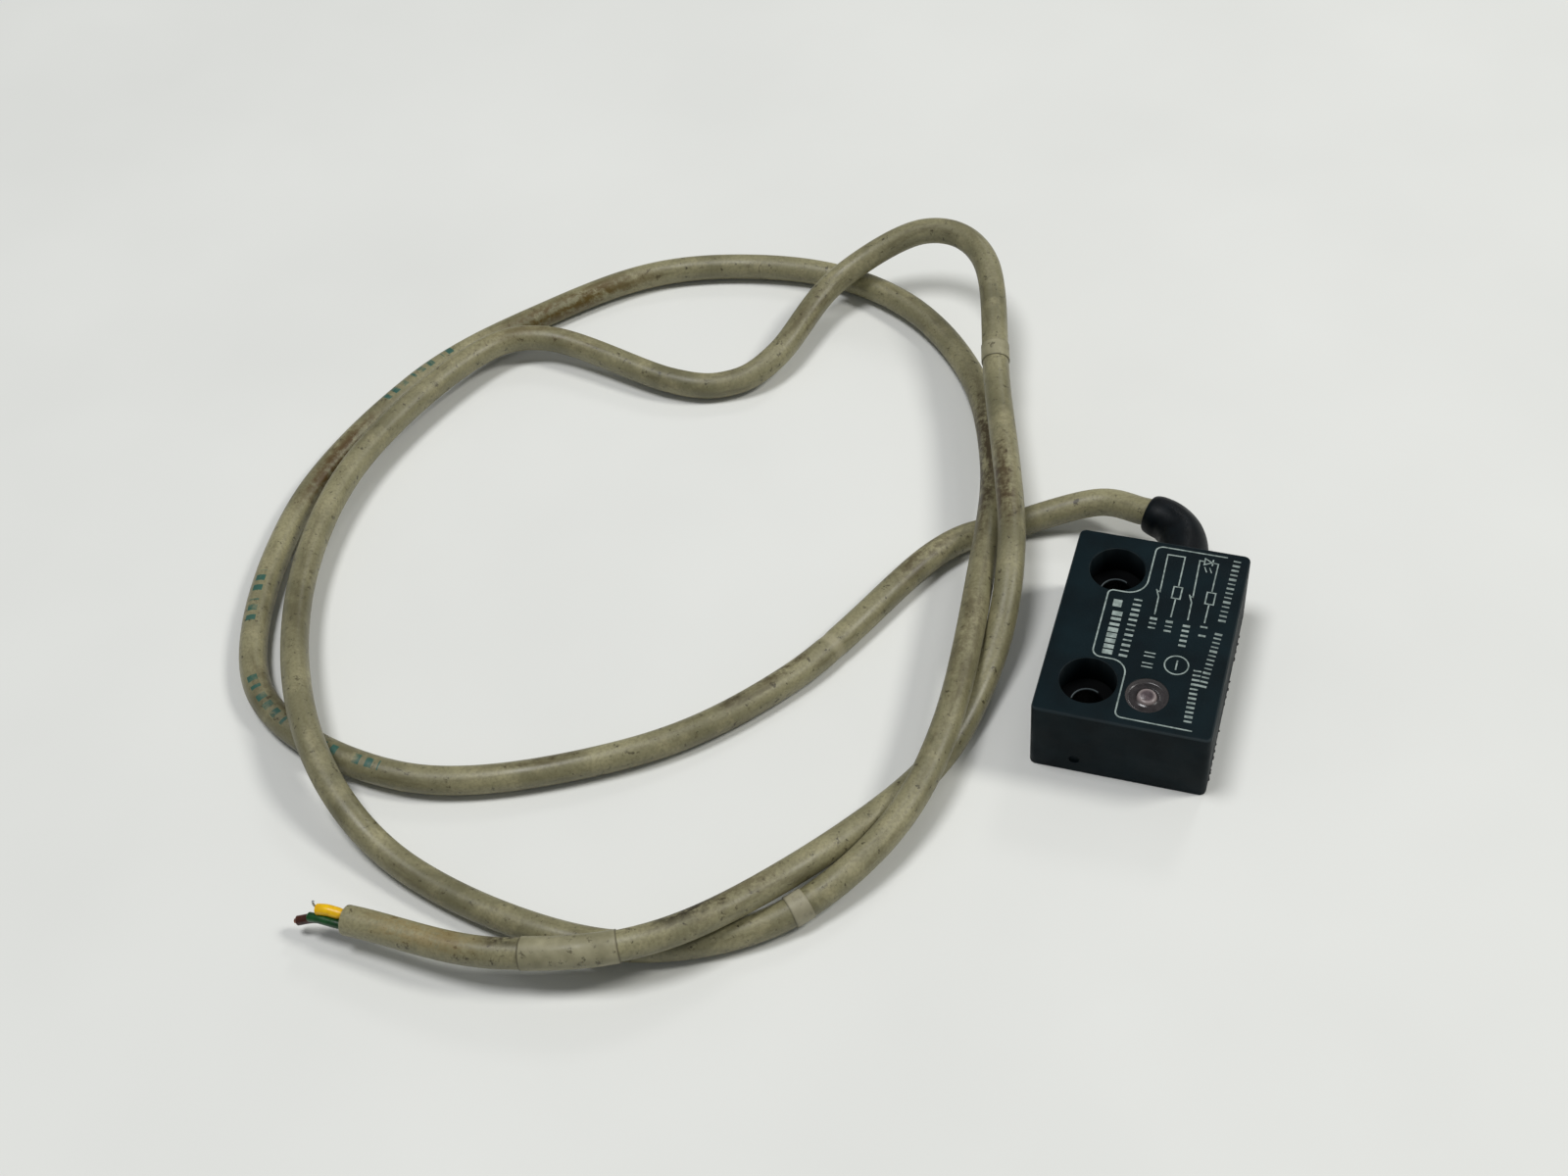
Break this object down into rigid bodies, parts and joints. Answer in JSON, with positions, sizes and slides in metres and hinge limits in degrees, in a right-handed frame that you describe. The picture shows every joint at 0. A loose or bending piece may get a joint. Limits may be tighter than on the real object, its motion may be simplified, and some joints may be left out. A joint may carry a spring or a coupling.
{
  "type": "proximity sensor",
  "caption": "Small flat potted magnetic proximity sensor with counterbored screw holes, an indicator lamp and a long thin fixed cable lying in a loose loop.",
  "frame": {"origin": "centre of the housing's footprint, on its base", "axes": "+Z out of the printed sensing face; +Y along the housing's long side, towards the cable's exit; +X away from the screw holes"},
  "size_m": [0.1567, 0.1567, 0.0167],
  "materials": {
    "housing_plastic": "moulded, fine texture",
    "potting_resin": "poured resin, rough",
    "clear_resin": "clear, faintly smoky",
    "led_resin": "diffuse, glossy",
    "board_laminate": "solder-mask green",
    "tube_glass": "clear",
    "blade_metal": "plated",
    "tinned_wire": "tinned",
    "solder": "smooth",
    "ferrule_metal": "pressed",
    "resistor_lacquer": "lacquered",
    "boot_rubber": "moulded, satin",
    "jacket_pvc": "extruded, satin, grimy",
    "core_white": "extruded",
    "core_brown": "extruded",
    "core_green": "extruded",
    "core_yellow": "extruded",
    "bare_copper": "bright drawn wire"
  },
  "bodies": {
    "sensor": {"housing": "housing_plastic", "potting_compound": "potting_resin", "circuit_board": "board_laminate", "led_window": "clear_resin", "led_body": "led_resin", "led_lead_anode": "tinned_wire", "led_lead_cathode": "tinned_wire", "reed_1_glass": "tube_glass", "reed_1_fixed_blade": "blade_metal", "reed_1_moving_side_lead": "blade_metal", "resistor_1": "resistor_lacquer", "reed_2_glass": "tube_glass", "reed_2_fixed_blade": "blade_metal", "reed_2_moving_side_lead": "blade_metal", "resistor_2": "resistor_lacquer", "core_white_tail": "core_white", "solder_joint_white": "solder", "end_core_white": "core_white", "core_brown_tail": "core_brown", "solder_joint_brown": "solder", "end_core_brown": "core_brown", "core_green_tail": "core_green", "solder_joint_green": "solder", "end_core_green": "core_green", "core_yellow_tail": "core_yellow", "solder_joint_yellow": "solder", "end_core_yellow": "core_yellow", "crimp_ring": "ferrule_metal", "strain_relief_boot": "boot_rubber", "jacket_tail": "jacket_pvc", "cable_jacket": "jacket_pvc", "end_copper_brown": "bare_copper", "end_strand_yellow": "tinned_wire"},
    "reed_1_blade": {"reed_1_moving_blade": "blade_metal"},
    "reed_2_blade": {"reed_2_moving_blade": "blade_metal"}
  },
  "joints": [
    {"name": "reed_1_close", "type": "hinge", "parent": "sensor", "child": "reed_1_blade", "pos_m": [0.0066, -0.0075, 0.0087], "axis": [1, 0, 0], "range_deg": [0, 2], "stiffness_Nm_per_rad": 0.005},
    {"name": "reed_2_close", "type": "hinge", "parent": "sensor", "child": "reed_2_blade", "pos_m": [0.0096, -0.0075, 0.0087], "axis": [1, 0, 0], "range_deg": [0, 2], "stiffness_Nm_per_rad": 0.005}
  ]
}
